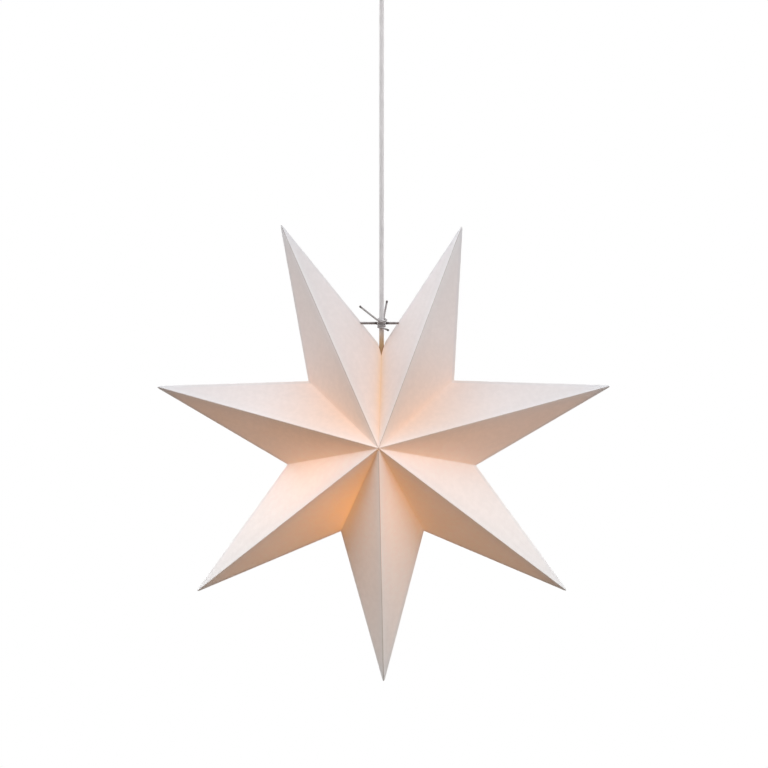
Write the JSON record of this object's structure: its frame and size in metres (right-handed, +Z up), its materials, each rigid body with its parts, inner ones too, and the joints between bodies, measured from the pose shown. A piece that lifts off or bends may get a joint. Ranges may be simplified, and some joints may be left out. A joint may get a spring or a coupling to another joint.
{
  "type": "paper star pendant lamp",
  "caption": "Folded white paper star pendant lamp, lit from inside by a screw-in bulb, tied shut round its flex and hung from a ceiling cup; the star folds flat.",
  "frame": {"origin": "middle of the ceiling bracket's two screw holes, on the ceiling face", "axes": "+Z up out of the ceiling face along the flex, +Y along the star's axis to its back, so the front faces -Y, +X to the right seen from the front"},
  "size_m": [0.5864, 0.1734, 0.968],
  "materials": {
    "paper": "matt white paper, warm where the bulb shines through",
    "string": "twisted cotton string",
    "flex": "light grey-white plastic sheath",
    "white_plastic": "smooth white plastic",
    "clear_plastic": "plain moulded plastic",
    "steel": "zinc-plated sheet steel",
    "brass": "bare brass",
    "copper_wire": "plastic-covered conductors",
    "white_rubber": "soft white rubber",
    "glass": "clear glass",
    "black_glass": "black glass insulator",
    "filament": "glowing filament"
  },
  "bodies": {
    "ceiling": {"ceiling_bracket": "steel", "cord_gland": "white_plastic", "gland_nut": "white_plastic", "gland_screw": "steel", "terminal_block": "clear_plastic", "terminal_screws": "brass", "supply_wires": "copper_wire", "flex_top": "flex"},
    "canopy": {"canopy_cup": "white_plastic", "canopy_grommet": "white_rubber"},
    "flex_neck": {"flex_neck": "flex"},
    "pendant": {"flex_cord": "flex", "holder_cap": "white_plastic", "holder_skirt": "white_plastic", "holder_insert": "clear_plastic", "cord_clamp": "clear_plastic", "clamp_screws": "steel", "holder_wires": "copper_wire", "centre_contact": "brass", "side_contact": "brass", "shade_ring": "white_plastic"},
    "bulb_tip": {"bulb_contact": "brass"},
    "bulb": {"bulb_cap": "brass", "bulb_insulator": "black_glass", "bulb_globe": "glass", "bulb_stem": "glass", "bulb_filament": "filament"},
    "tie": {"tie_wrap": "string", "tie_tail": "string"},
    "point_1_front_right": {"point_1_front_right": "paper", "tie_leg_left": "string"},
    "point_1_front_left": {"point_1_front_left": "paper"},
    "point_1_back_right": {"point_1_back_right": "paper"},
    "point_1_back_left": {"point_1_back_left": "paper"},
    "point_2_front_right": {"point_2_front_right": "paper"},
    "point_2_front_left": {"point_2_front_left": "paper"},
    "point_2_back_right": {"point_2_back_right": "paper"},
    "point_2_back_left": {"point_2_back_left": "paper"},
    "point_3_front_right": {"point_3_front_right": "paper"},
    "point_3_front_left": {"point_3_front_left": "paper"},
    "point_3_back_right": {"point_3_back_right": "paper"},
    "point_3_back_left": {"point_3_back_left": "paper"},
    "point_4_front_right": {"point_4_front_right": "paper"},
    "point_4_front_left": {"point_4_front_left": "paper"},
    "point_4_back_right": {"point_4_back_right": "paper"},
    "point_4_back_left": {"point_4_back_left": "paper"},
    "point_5_front_right": {"point_5_front_right": "paper"},
    "point_5_front_left": {"point_5_front_left": "paper"},
    "point_5_back_right": {"point_5_back_right": "paper"},
    "point_5_back_left": {"point_5_back_left": "paper"},
    "point_6_front_right": {"point_6_front_right": "paper"},
    "point_6_front_left": {"point_6_front_left": "paper"},
    "point_6_back_right": {"point_6_back_right": "paper"},
    "point_6_back_left": {"point_6_back_left": "paper"},
    "point_7_front_right": {"point_7_front_right": "paper"},
    "point_7_front_left": {"point_7_front_left": "paper", "tie_leg_right": "string"},
    "point_7_back_right": {"point_7_back_right": "paper"},
    "point_7_back_left": {"point_7_back_left": "paper"}
  },
  "joints": [
    {"name": "canopy_slide", "type": "slide", "parent": "ceiling", "child": "canopy", "axis": [0, 0, -1], "range_m": [0, 0.06]},
    {"name": "sway_forward", "type": "hinge", "parent": "ceiling", "child": "flex_neck", "pos_m": [0, 0, -0.132], "axis": [1, 0, 0], "range_deg": [-20, 20]},
    {"name": "sway_sideways", "type": "hinge", "parent": "flex_neck", "child": "pendant", "pos_m": [0, 0, -0.146], "axis": [0, 1, 0], "range_deg": [-20, 20]},
    {"name": "bulb_unscrew", "type": "slide", "parent": "pendant", "child": "bulb_tip", "axis": [0, 0, -1], "range_m": [0, 0.0106]},
    {"name": "bulb_turn", "type": "hinge", "parent": "bulb_tip", "child": "bulb", "pos_m": [0, 0, -0.66], "axis": [0, 0, -1], "range_deg": [-1, 1355.19]},
    {"name": "star_turn", "type": "hinge", "parent": "pendant", "child": "tie", "pos_m": [0, 0, -0.502], "axis": [0, 0, 1], "range_deg": [-180, 180]},
    {"name": "star_fold", "type": "hinge", "parent": "tie", "child": "point_4_front_right", "pos_m": [0, -0.08945, -0.65984], "axis": [0.0084, 0.2739, -0.9617], "range_deg": [0, 38.11]},
    {"name": "ridge_4_left", "type": "hinge", "parent": "tie", "child": "point_4_front_left", "pos_m": [0, -0.08945, -0.65984], "axis": [-0.0084, -0.2739, 0.9617], "range_deg": [-0.1, 38.21]},
    {"name": "valley_3", "type": "hinge", "parent": "point_4_front_right", "child": "point_3_front_left", "pos_m": [0, -0.09, -0.66], "axis": [0.3444, -0.5794, 0.7387], "range_deg": [-0.1, 95.16]},
    {"name": "ridge_3", "type": "hinge", "parent": "point_3_front_left", "child": "point_3_front_right", "pos_m": [0.00012, -0.08946, -0.6599], "axis": [-0.7509, 0.2747, -0.6005], "range_deg": [-0.1, 77.94]},
    {"name": "valley_2", "type": "hinge", "parent": "point_3_front_right", "child": "point_2_front_left", "pos_m": [0, -0.09, -0.66], "axis": [0.7963, -0.5794, 0.1736], "range_deg": [-0.1, 96.78]},
    {"name": "ridge_2", "type": "hinge", "parent": "point_2_front_left", "child": "point_2_front_right", "pos_m": [0.00015, -0.08947, -0.66004], "axis": [-0.9307, 0.2801, 0.2355], "range_deg": [-0.1, 78.98]},
    {"name": "valley_1", "type": "hinge", "parent": "point_2_front_right", "child": "point_1_front_left", "pos_m": [0, -0.09, -0.66], "axis": [0.6179, -0.5794, -0.5315], "range_deg": [-0.1, 94.49]},
    {"name": "ridge_1", "type": "hinge", "parent": "point_1_front_left", "child": "point_1_front_right", "pos_m": [0.00007, -0.08944, -0.66014], "axis": [-0.4015, 0.2711, 0.8748], "range_deg": [-0.1, 74.32]},
    {"name": "valley_4", "type": "hinge", "parent": "point_4_front_left", "child": "point_5_front_right", "pos_m": [0, -0.09, -0.66], "axis": [0.3573, 0.5794, -0.7325], "range_deg": [-0.1, 94.57]},
    {"name": "ridge_5", "type": "hinge", "parent": "point_5_front_right", "child": "point_5_front_left", "pos_m": [-0.00012, -0.08946, -0.6599], "axis": [-0.7541, -0.2768, 0.5956], "range_deg": [-0.1, 77.09]},
    {"name": "valley_5", "type": "hinge", "parent": "point_5_front_left", "child": "point_6_front_right", "pos_m": [0, -0.09, -0.66], "axis": [0.7954, 0.5794, -0.1778], "range_deg": [-0.1, 96.55]},
    {"name": "ridge_6", "type": "hinge", "parent": "point_6_front_right", "child": "point_6_front_left", "pos_m": [-0.00015, -0.08947, -0.66004], "axis": [-0.9305, -0.2776, -0.2389], "range_deg": [-0.1, 79.46]},
    {"name": "valley_6", "type": "hinge", "parent": "point_6_front_left", "child": "point_7_front_right", "pos_m": [0, -0.09, -0.66], "axis": [0.6114, 0.5794, 0.539], "range_deg": [-0.1, 65.79]},
    {"name": "ridge_7", "type": "hinge", "parent": "point_7_front_right", "child": "point_7_front_left", "pos_m": [-0.00002, -0.08944, -0.66017], "axis": [-0.3314, -0.2813, -0.9006], "range_deg": [-0.1, 43.22]},
    {"name": "side_1_right", "type": "hinge", "parent": "point_1_front_right", "child": "point_1_back_right", "pos_m": [-0.13367, 0, -0.36995], "axis": [0.6311, 0, -0.7757], "range_deg": [-0.1, 71.67]},
    {"name": "side_1_left", "type": "hinge", "parent": "point_1_front_left", "child": "point_1_back_left", "pos_m": [-0.13273, 0, -0.36952], "axis": [-0.1765, 0, 0.9843], "range_deg": [-0.1, 71.67]},
    {"name": "side_2_right", "type": "hinge", "parent": "point_2_front_right", "child": "point_2_back_right", "pos_m": [-0.29906, 0, -0.58487], "axis": [0.9994, 0, 0.0338], "range_deg": [-0.1, 75.84]},
    {"name": "side_2_left", "type": "hinge", "parent": "point_2_front_left", "child": "point_2_back_left", "pos_m": [-0.29879, 0, -0.58385], "axis": [-0.863, 0, 0.5051], "range_deg": [-0.1, 75.84]},
    {"name": "side_3_right", "type": "hinge", "parent": "point_3_front_right", "child": "point_3_back_right", "pos_m": [-0.24556, 0, -0.85706], "axis": [0.5846, 0, 0.8114], "range_deg": [-0.1, 75]},
    {"name": "side_3_left", "type": "hinge", "parent": "point_3_front_left", "child": "point_3_back_left", "pos_m": [-0.24622, 0, -0.85623], "axis": [-0.92, 0, -0.3919], "range_deg": [-0.1, 75]},
    {"name": "side_4_right", "type": "hinge", "parent": "point_4_front_right", "child": "point_4_back_right", "pos_m": [0.00328, 0, -0.97584], "axis": [-0.2692, 0, 0.9631], "range_deg": [-0.1, 73.49]},
    {"name": "side_4_left", "type": "hinge", "parent": "point_4_front_left", "child": "point_4_back_left", "pos_m": [0.00223, 0, -0.97585], "axis": [-0.2524, 0, -0.9676], "range_deg": [-0.1, 73.49]},
    {"name": "side_5_right", "type": "hinge", "parent": "point_5_front_right", "child": "point_5_back_right", "pos_m": [0.24545, 0, -0.85318], "axis": [-0.9216, 0, 0.3881], "range_deg": [-0.1, 74.15]},
    {"name": "side_5_left", "type": "hinge", "parent": "point_5_front_left", "child": "point_5_back_left", "pos_m": [0.2448, 0, -0.854], "axis": [0.5911, 0, -0.8066], "range_deg": [-0.1, 74.15]},
    {"name": "side_6_right", "type": "hinge", "parent": "point_6_front_right", "child": "point_6_back_right", "pos_m": [0.30143, 0, -0.58206], "axis": [-0.8613, 0, -0.508], "range_deg": [-0.1, 76.36]},
    {"name": "side_6_left", "type": "hinge", "parent": "point_6_front_left", "child": "point_6_back_left", "pos_m": [0.3017, 0, -0.58309], "axis": [0.9995, 0, -0.0302], "range_deg": [-0.1, 76.36]},
    {"name": "side_7_right", "type": "hinge", "parent": "point_7_front_right", "child": "point_7_back_right", "pos_m": [0.10544, 0, -0.37185], "axis": [-0.0539, 0, -0.9985], "range_deg": [-0.1, 32.36]},
    {"name": "side_7_left", "type": "hinge", "parent": "point_7_front_left", "child": "point_7_back_left", "pos_m": [0.10643, 0, -0.37216], "axis": [0.5487, 0, 0.836], "range_deg": [-0.1, 52.27]}
  ],
  "couplings": [
    {"joint": "bulb_turn", "follows": "bulb_unscrew", "rad_per_m": 2228.1},
    {"joint": "ridge_4_left", "follows": "star_fold", "ratio": 1},
    {"joint": "valley_3", "follows": "star_fold", "ratio": 2.4945},
    {"joint": "ridge_3", "follows": "star_fold", "ratio": 2.0428},
    {"joint": "valley_2", "follows": "star_fold", "ratio": 2.5372},
    {"joint": "ridge_2", "follows": "star_fold", "ratio": 2.0699},
    {"joint": "valley_1", "follows": "star_fold", "ratio": 2.4771},
    {"joint": "ridge_1", "follows": "star_fold", "ratio": 1.9477},
    {"joint": "valley_4", "follows": "star_fold", "ratio": 2.4791},
    {"joint": "ridge_5", "follows": "star_fold", "ratio": 2.0203},
    {"joint": "valley_5", "follows": "star_fold", "ratio": 2.5311},
    {"joint": "ridge_6", "follows": "star_fold", "ratio": 2.0827},
    {"joint": "valley_6", "follows": "star_fold", "ratio": 1.724},
    {"joint": "ridge_7", "follows": "star_fold", "ratio": 1.1316},
    {"joint": "side_1_right", "follows": "star_fold", "ratio": 1.8783},
    {"joint": "side_1_left", "follows": "star_fold", "ratio": 1.8783},
    {"joint": "side_2_right", "follows": "star_fold", "ratio": 1.9876},
    {"joint": "side_2_left", "follows": "star_fold", "ratio": 1.9876},
    {"joint": "side_3_right", "follows": "star_fold", "ratio": 1.9657},
    {"joint": "side_3_left", "follows": "star_fold", "ratio": 1.9657},
    {"joint": "side_4_right", "follows": "star_fold", "ratio": 1.9259},
    {"joint": "side_4_left", "follows": "star_fold", "ratio": 1.9259},
    {"joint": "side_5_right", "follows": "star_fold", "ratio": 1.9432},
    {"joint": "side_5_left", "follows": "star_fold", "ratio": 1.9432},
    {"joint": "side_6_right", "follows": "star_fold", "ratio": 2.0013},
    {"joint": "side_6_left", "follows": "star_fold", "ratio": 2.0013},
    {"joint": "side_7_right", "follows": "star_fold", "ratio": 0.84664},
    {"joint": "side_7_left", "follows": "star_fold", "ratio": 1.3692}
  ]
}
